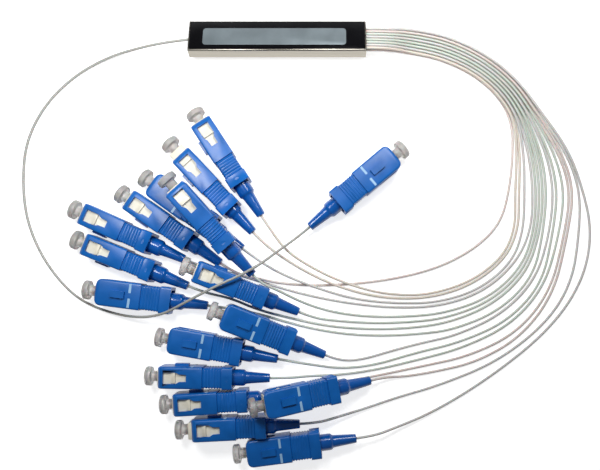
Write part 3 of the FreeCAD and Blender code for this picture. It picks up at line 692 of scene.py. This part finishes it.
# %% Steel tube
HALF_LENGTH, HALF_WIDTH, HALF_HEIGHT = TUBE_LENGTH / 2, TUBE_WIDTH / 2, TUBE_HEIGHT / 2
INSIDE_Y, INSIDE_Z, INSIDE_CORNER = HALF_WIDTH - TUBE_WALL, HALF_HEIGHT - TUBE_WALL, 0.25
outside_rings = [(end * HALF_LENGTH, HALF_WIDTH, HALF_HEIGHT) for end in (-1, 1)]
inside_rings = [(end * (HALF_LENGTH + CUT_PAST), INSIDE_Y, INSIDE_Z) for end in (-1, 1)]
tube = grown_piece("splitter_tube", outside_rings, corner=TUBE_EDGE, steps=6)
inside = grown_piece("inside", inside_rings, corner=INSIDE_CORNER, steps=3)
combine(tube, inside, "DIFFERENCE")
soften(tube, 0.06, angle=50)
print("tube", triangles(tube), "triangles")

# %% Sticker
LABEL_LOW, LABEL_HIGH, LABEL_CORNER = (-29.55, -5.55, 2.0), (29.55, 5.55, 2.1), 0.5
FIELD_LOW, FIELD_HIGH, FIELD_CORNER = (-25.1, -3.9, 2.09), (23.2, 2.75, 2.115), 1.1
MOST = 0.9                # an upright edge spans more than this share of the sheet's thickness


def sticker(name, low, high, corner):
    """A thin sheet with rounded corners and a softened upper rim."""
    sheet = block(name, low, high)
    bpy.ops.object.mode_set(mode="EDIT")
    bpy.ops.mesh.select_mode(type="EDGE")
    mesh = bmesh.from_edit_mesh(sheet.data)
    for edge in mesh.edges:
        a, b = (v.co for v in edge.verts)
        edge.select_set(abs(a.z - b.z) > MOST * (high[2] - low[2]) * MM)
    bmesh.update_edit_mesh(sheet.data)
    bpy.ops.mesh.bevel(offset=corner * MM, segments=6, affect="EDGES")
    bpy.ops.mesh.select_mode(type="FACE")
    close_mesh(sheet)
    return soften(sheet, 0.015, angle=60)


label = sticker("black_sticker", LABEL_LOW, LABEL_HIGH, LABEL_CORNER)
field = sticker("silver_field", FIELD_LOW, FIELD_HIGH, FIELD_CORNER)
print("label", triangles(label) + triangles(field), "triangles")

# %% Potting
POTTING_DEPTH, POTTING_Y, POTTING_Z, POTTING_CORNER = 3.0, 5.57, 1.57, 0.24
DISH_RIM, DISH_DEPTH = 0.25, 0.1


def potting(side):
    """The compound in one end of the tube, slightly dished where it set."""
    outer = side * (HALF_LENGTH - PLUG_RECESS)
    inner = outer - side * POTTING_DEPTH
    plug = ring_face("potting", inner, POTTING_Y, POTTING_Z, POTTING_CORNER, 3)
    grow([(outer, POTTING_Y, POTTING_Z)], (inner, POTTING_Y, POTTING_Z))
    bpy.ops.mesh.inset(thickness=DISH_RIM * MM)
    bpy.ops.transform.translate(value=(-side * DISH_DEPTH * MM, 0, 0))
    return close_mesh(plug)


plugs = join([potting(-1), potting(1)], "end_potting")
for piece in (tube, label, field, plugs):
    piece.data.transform(tube_lying())
print("potting", triangles(plugs), "triangles")

# %% [markdown]
# Real mouldings are never one flat colour: the plastic has faint cloudy patches, the polish varies,
# and a fine grain breaks up the reflections. One node group gives all of that. It reads Object
# coordinates, so the pattern stays on the piece, and puts out only a colour, a roughness and a
# normal for the shader that stays in each material.

# %% Node helpers
def new_group(name, inputs, outputs):
    """An empty shader group with named sockets, and its two end nodes."""
    group = bpy.data.node_groups.new(name, "ShaderNodeTree")
    for title, kind, value in inputs:
        socket = group.interface.new_socket(title, in_out="INPUT", socket_type=kind)
        socket.default_value = value
    for title, kind in outputs:
        group.interface.new_socket(title, in_out="OUTPUT", socket_type=kind)
    return group, group.nodes.new("NodeGroupInput"), group.nodes.new("NodeGroupOutput")


def math_node(tree, operation, first, second, third=None):
    """What a Math node gives for sockets or numbers."""
    node = tree.nodes.new("ShaderNodeMath")
    node.operation = operation
    for socket, value in zip(node.inputs, (first, second, third)):
        if isinstance(value, (int, float)):
            socket.default_value = value
        elif value is not None:
            tree.links.new(value, socket)
    return node.outputs[0]


# %% Surface group
SHADE_RANGE, SHADE_LEAST = 1.6, 0.2     # how far a cloud lightens or darkens the colour
POLISH_RANGE = 0.25
GRAIN_HEIGHT = 0.02


def build_surface_group():
    """Cloudy colour, uneven polish and fine grain for any moulded, cast or coated surface."""
    group, given, made = new_group("Surface Life", [
        ("Color", "NodeSocketColor", (0.5, 0.5, 0.5, 1)), ("Cloudiness", "NodeSocketFloat", 0.2),
        ("Polish", "NodeSocketFloat", 0.3), ("Patches per Metre", "NodeSocketFloat", 250.0),
        ("Grains per Metre", "NodeSocketFloat", 3000.0), ("Grain Depth", "NodeSocketFloat", 0.1),
        ("Drawn Out", "NodeSocketFloat", 1.0)], [
        ("Color", "NodeSocketColor"), ("Roughness", "NodeSocketFloat"),
        ("Normal", "NodeSocketVector")])
    links = group.links
    place = group.nodes.new("ShaderNodeTexCoord").outputs["Object"]
    stretch = group.nodes.new("ShaderNodeVectorMath")
    stretch.operation = "MULTIPLY"
    joined = group.nodes.new("ShaderNodeCombineXYZ")
    joined.inputs["Y"].default_value = joined.inputs["Z"].default_value = 1
    links.new(given.outputs["Drawn Out"], joined.inputs["X"])
    links.new(place, stretch.inputs[0])
    links.new(joined.outputs[0], stretch.inputs[1])
    clouds = group.nodes.new("ShaderNodeTexNoise")
    clouds.inputs["Detail"].default_value = 3
    grain = group.nodes.new("ShaderNodeTexNoise")
    grain.inputs["Detail"].default_value = 2
    for noise, scale in ((clouds, "Patches per Metre"), (grain, "Grains per Metre")):
        links.new(stretch.outputs[0], noise.inputs["Vector"])
        links.new(given.outputs[scale], noise.inputs["Scale"])
    shade = math_node(group, "MULTIPLY_ADD", clouds.outputs["Fac"], SHADE_RANGE, SHADE_LEAST)
    tint = group.nodes.new("ShaderNodeMix")
    tint.data_type = "RGBA"
    tint.blend_type = "MULTIPLY"
    links.new(given.outputs["Cloudiness"], tint.inputs["Factor"])
    links.new(given.outputs["Color"], tint.inputs["A"])
    links.new(shade, tint.inputs["B"])
    links.new(tint.outputs["Result"], made.inputs["Color"])
    uneven = math_node(group, "SUBTRACT", clouds.outputs["Fac"], 0.5)
    rough = math_node(group, "MULTIPLY_ADD", uneven, POLISH_RANGE, given.outputs["Polish"])
    links.new(rough, made.inputs["Roughness"])
    bump = group.nodes.new("ShaderNodeBump")
    bump.inputs["Distance"].default_value = GRAIN_HEIGHT * MM
    links.new(given.outputs["Grain Depth"], bump.inputs["Strength"])
    links.new(grain.outputs["Fac"], bump.inputs["Height"])
    links.new(bump.outputs[0], made.inputs["Normal"])
    return group


SURFACE = build_surface_group()
print("groups", len(bpy.data.node_groups))


# %% Material maker
def finish(name, color, polish, cloudiness=0.2, patches=250.0, grains=3000.0, depth=0.1,
           drawn_out=1.0, **shader):
    """A material: the surface group feeds a Principled BSDF, whose own sockets hold constants."""
    material = bpy.data.materials.new(name)
    material.use_nodes = True
    tree = material.node_tree
    principled = tree.nodes["Principled BSDF"]
    group = tree.nodes.new("ShaderNodeGroup")
    group.node_tree = SURFACE
    values = {"Color": (*color, 1), "Cloudiness": cloudiness, "Polish": polish,
              "Patches per Metre": patches, "Grains per Metre": grains, "Grain Depth": depth,
              "Drawn Out": drawn_out}
    for title, value in values.items():
        group.inputs[title].default_value = value
    for made, fed in (("Color", "Base Color"), ("Roughness", "Roughness"), ("Normal", "Normal")):
        tree.links.new(group.outputs[made], principled.inputs[fed])
    for title, value in shader.items():
        principled.inputs[title.replace("_", " ")].default_value = value
    return material


# %% [markdown]
# The grip is a glossy blue moulding and the boot a softer, darker one with a thin sheen on top. The
# latch frame is cream, and the dust caps are frosted: light passes some way into them, which needs
# transmission and a little scattering under the surface. The ferrule is white ceramic, and the
# spring and its stop behind it are plain metal.

# %% Connector finishes
grip_blue = finish("grip_blue", (0.002, 0.13, 0.49), polish=0.34, cloudiness=0.35, patches=180,
                   grains=2500, depth=0.15)
boot_blue = finish("boot_blue", (0.002, 0.098, 0.42), polish=0.2, cloudiness=0.3, patches=200,
                   grains=2500, Coat_Weight=0.25, Coat_Roughness=0.12)
bar_white = finish("bar_white", (0.36, 0.60, 0.86), polish=0.4, cloudiness=0.1)
frame_cream = finish("frame_cream", (0.92, 0.87, 0.72), polish=0.4, patches=500, grains=4000)
cap_grey = finish("cap_grey", (0.62, 0.60, 0.58), polish=0.4, cloudiness=0.3, patches=500,
                  depth=0.2, Transmission_Weight=0.5, Subsurface_Weight=0.3,
                  Subsurface_Scale=0.001)
ceramic_white = finish("ceramic_white", (0.85, 0.85, 0.82), polish=0.12, cloudiness=0.05)
spring_steel = finish("spring_steel", (0.55, 0.55, 0.55), polish=0.25, cloudiness=0.1,
                      Metallic=1.0)
stop_metal = finish("stop_metal", (0.66, 0.62, 0.52), polish=0.3, cloudiness=0.1, Metallic=1.0)
print("connector finishes ready, materials", len(bpy.data.materials))

# %% [markdown]
# The tube is drawn steel, so its grain is stretched along its length. The sticker is glossy black,
# its field is a dull silver print, the potting is rough and the chip is glass.

# %% Tube finishes
tube_steel = finish("tube_steel", (0.30, 0.28, 0.24), polish=0.3, cloudiness=0.35, patches=900,
                    grains=6000, depth=0.3, drawn_out=0.02, Metallic=1.0)
sticker_black = finish("sticker_black", (0.003, 0.003, 0.004), polish=0.16, cloudiness=0.3,
                       patches=120, grains=2000, Specular_IOR_Level=0.25)
field_silver = finish("field_silver", (0.19, 0.23, 0.25), polish=0.42, cloudiness=0.4,
                      patches=150, grains=5000, depth=0.2, Metallic=0.3)
potting_black = finish("potting_black", (0.03, 0.03, 0.03), polish=0.5, cloudiness=0.4,
                       patches=900, grains=2500, depth=0.4)
chip_glass = finish("chip_glass", (0.8, 0.85, 0.85), polish=0.1, cloudiness=0.05,
                    Transmission_Weight=0.8)
print("tube finishes ready, materials", len(bpy.data.materials))

# %% [markdown]
# The cords are milky plastic in faint tints, which let a joiner tell the fibres apart. The white
# input cord is made grey: painted shade that stands in for the shading along its edges. They differ
# in colour alone, so one table and one loop make them.

# %% Cord finishes
CORD_COLORS = {
    # The white input cord's grey is painted shade, darker than its own white, for its shaded edges
    "cord_white": (0.42, 0.42, 0.39), "cord_clear": (0.66, 0.65, 0.63),
    "cord_green": (0.62, 0.67, 0.60), "cord_cream": (0.77, 0.70, 0.61),
    "cord_pink": (0.75, 0.66, 0.62),
}
cord_finishes = {
    name: finish(name, color, polish=0.3, cloudiness=0.12, patches=60, grains=2000, depth=0.05,
                 Subsurface_Weight=0.15, Subsurface_Scale=0.0004)
    for name, color in CORD_COLORS.items()
}
print("cord finishes", len(cord_finishes))

# %% [markdown]
# Now each finished shape is copied to where its connector lies, with its place in its own mesh. A
# grip and a cap ride on their own sliding bodies. A frame and a boot stay with the cords. The bars
# are the grip's second material, so they are joined to it before it is copied.

# %% Paint and copy
def paint(piece, *materials):
    """Give a piece its materials in order."""
    piece.data.materials.clear()
    for material in materials:
        piece.data.materials.append(material)


def copy_to(piece, name, matrix):
    """A copy of a finished piece with its place in its own mesh."""
    mesh = piece.data.copy()
    mesh.transform(matrix)
    mesh.name = name
    made = bpy.data.objects.new(name, mesh)
    bpy.context.scene.collection.objects.link(made)
    return made


paint(grip, grip_blue, bar_white)
for pad in bars:
    paint(pad, grip_blue, bar_white)
    for face in pad.data.polygons:
        face.material_index = 1
for mark in marks:
    paint(mark, grip_blue, bar_white)
grip = join([grip, *bars, *marks], "grip_master")
paint(cap, cap_grey)
paint(boot, boot_blue)
paint(plug_frame, frame_cream)
print("grip with bars and marks", triangles(grip), "triangles")

# %% Lay out the connectors
# What each piece is called, its shape, its body, the node it replaces and its slot. A body or a
# node that starts with _ belongs to one connector alone.
PARTS = (
    ("sleeve", grip, "_grip", "_grip", "grip_blue"),
    ("dust_cap", cap, "_cap", "_cap", "cap_grey"),
    ("latch_frame", plug_frame, "root", "plug_frames", "frame_cream"),
    ("tail_boot", boot, "root", "boots", "boot_blue"),
)
on_cord = {name: [] for name in PLACES}
for title, master, body, node, slot_name in PARTS:
    for name, place in PLACES.items():
        slid = Matrix.Translation((-place[-1] * MM if master is grip else 0, 0, 0))
        piece = copy_to(master, name + "_" + title, lying(name) @ slid)
        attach(piece, name + body if body.startswith("_") else body)
        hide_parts(name + node if node.startswith("_") else node)
        on_cord[name].append(piece)
    print(title, triangles(master), "triangles each")
    bpy.data.meshes.remove(master.data)

# %% Lay out the splitter tube
FIXED = ((tube, "steel_tube", "tube_steel"), (label, "face_label", "label_black"),
         (plugs, "end_plugs", "end_seal"))
for piece, node, slot_name in FIXED:
    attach(piece, "root")
    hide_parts(node)
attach(field, "root")
paint(tube, tube_steel)
paint(label, sticker_black)
paint(field, field_silver)
paint(plugs, potting_black)
INNER = (("ferrules", ceramic_white), ("springs", spring_steel), ("spring_stops", stop_metal),
         ("optical_chip", chip_glass))
for node, material in INNER:
    paint(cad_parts[node], material)

# %% [markdown]
# Each cord gets its tint, and its length, which is what the whole lead shows from the tube to its
# boot, is worked out.

# %% Cord tints
TINTS = {
    "cord_white": ("input",),
    "cord_clear": ("output_04", "output_06", "output_10", "output_14", "output_16"),
    "cord_green": ("output_03", "output_07", "output_08", "output_09", "output_11", "output_12"),
    "cord_cream": ("output_01", "output_02"),
    "cord_pink": ("output_05", "output_13", "output_15"),
}
tint_of = {name: tint for tint, names in TINTS.items() for name in names}
for name, cord in cords.items():
    tint = tint_of[name]
    cord.data.materials.append(cord_finishes[tint])
    round(line_length(cord), 4)
print("declared cords", len(cords))

# %% [markdown]
# The heap lies on a white sheet. The floor is a pale surface that also glows a little, but only for
# the camera, glossy and transmission rays. So it reads white and shows in gloss and in the frosted
# caps, while it still takes the soft shadows and throws no extra light on the pieces.

# %% Floor
FLOOR_SIZE, FLOOR_GLOW = 6, 0.74


def shown_rays(tree):
    """1 for camera, glossy and transmission rays, and 0 for the rays that light the pieces."""
    path = tree.nodes.new("ShaderNodeLightPath")
    seen = math_node(tree, "ADD", path.outputs["Is Camera Ray"], path.outputs["Is Glossy Ray"])
    return math_node(tree, "ADD", seen, path.outputs["Is Transmission Ray"])


deselect()
bpy.ops.mesh.primitive_plane_add(size=FLOOR_SIZE, location=(0, 0, 0))
floor = bpy.context.object
floor.name = "white_sheet"
sheet_white = bpy.data.materials.new("sheet_white")
sheet_white.use_nodes = True
tree = sheet_white.node_tree
surface = tree.nodes["Principled BSDF"]
surface.inputs["Base Color"].default_value = (0.85, 0.85, 0.85, 1)
surface.inputs["Roughness"].default_value = 0.9
surface.inputs["Specular IOR Level"].default_value = 0
glow = math_node(tree, "MULTIPLY", shown_rays(tree), FLOOR_GLOW)
surface.inputs["Emission Color"].default_value = (1, 1, 1, 1)
tree.links.new(glow, surface.inputs["Emission Strength"])
paint(floor, sheet_white)
print("floor", FLOOR_SIZE, "m wide")

# %% [markdown]
# Small lamps close by give broad highlights that fall off quickly. The first hangs above the upper
# left connectors and leaves a sheen on them. The second hangs behind the tube, so that the light
# fades towards the near connectors. The third, far behind, puts a faint gleam on the sticker.

# %% Lamps
def soft_lamp(name, place, size, power):
    """A square area lamp in metres and watts that shines straight down and stays out of view."""
    lamp = bpy.data.lights.new(name, "AREA")
    lamp.size = size
    lamp.energy = power
    lamp_object = bpy.data.objects.new(name, lamp)
    lamp_object.location = place
    lamp_object.visible_camera = False
    bpy.context.scene.collection.objects.link(lamp_object)


soft_lamp("sheen_lamp", (-0.062, -0.018, 0.15), 0.05, 0.155)
soft_lamp("back_lamp", (0.06, 0.05, 0.16), 0.08, 0.29)
soft_lamp("label_lamp", (-0.063, 0.50, 0.33), 0.07, 0.09)
print("lamps", len(bpy.data.lights))

# %% [markdown]
# The sky is dim and even, so the lamps shape the light. Low round the horizon a pale band shows in
# gloss and steel. Only the camera, glossy and transmission rays see the band.

# %% Sky
SKY_LIGHT, BAND_STRENGTH = 0.11, 0.72
BAND_TOP, BAND_SHARPNESS = 0.3, 6

world = bpy.data.worlds.new("studio")
bpy.context.scene.world = world
world.use_nodes = True
sky = world.node_tree.nodes["Background"]
sky.inputs["Color"].default_value = (0.95, 0.97, 1.0, 1)
tree = world.node_tree
direction = tree.nodes.new("ShaderNodeTexCoord")
split = tree.nodes.new("ShaderNodeSeparateXYZ")
tree.links.new(direction.outputs["Generated"], split.inputs["Vector"])
below = math_node(tree, "SUBTRACT", BAND_TOP, split.outputs["Z"])
slope = math_node(tree, "MULTIPLY", below, BAND_SHARPNESS)
band = math_node(tree, "MINIMUM", math_node(tree, "MAXIMUM", slope, 0), 1)
shown = math_node(tree, "MULTIPLY", band, shown_rays(tree))
shown = math_node(tree, "MULTIPLY", shown, BAND_STRENGTH)
tree.links.new(math_node(tree, "ADD", shown, SKY_LIGHT), sky.inputs["Strength"])
bpy.context.scene.view_settings.view_transform = "Standard"
print("sky light", SKY_LIGHT, "band", BAND_STRENGTH)

# %% [markdown]
# The last cell brings the view layer up to date.

# %% Finish
bpy.context.view_layer.update()
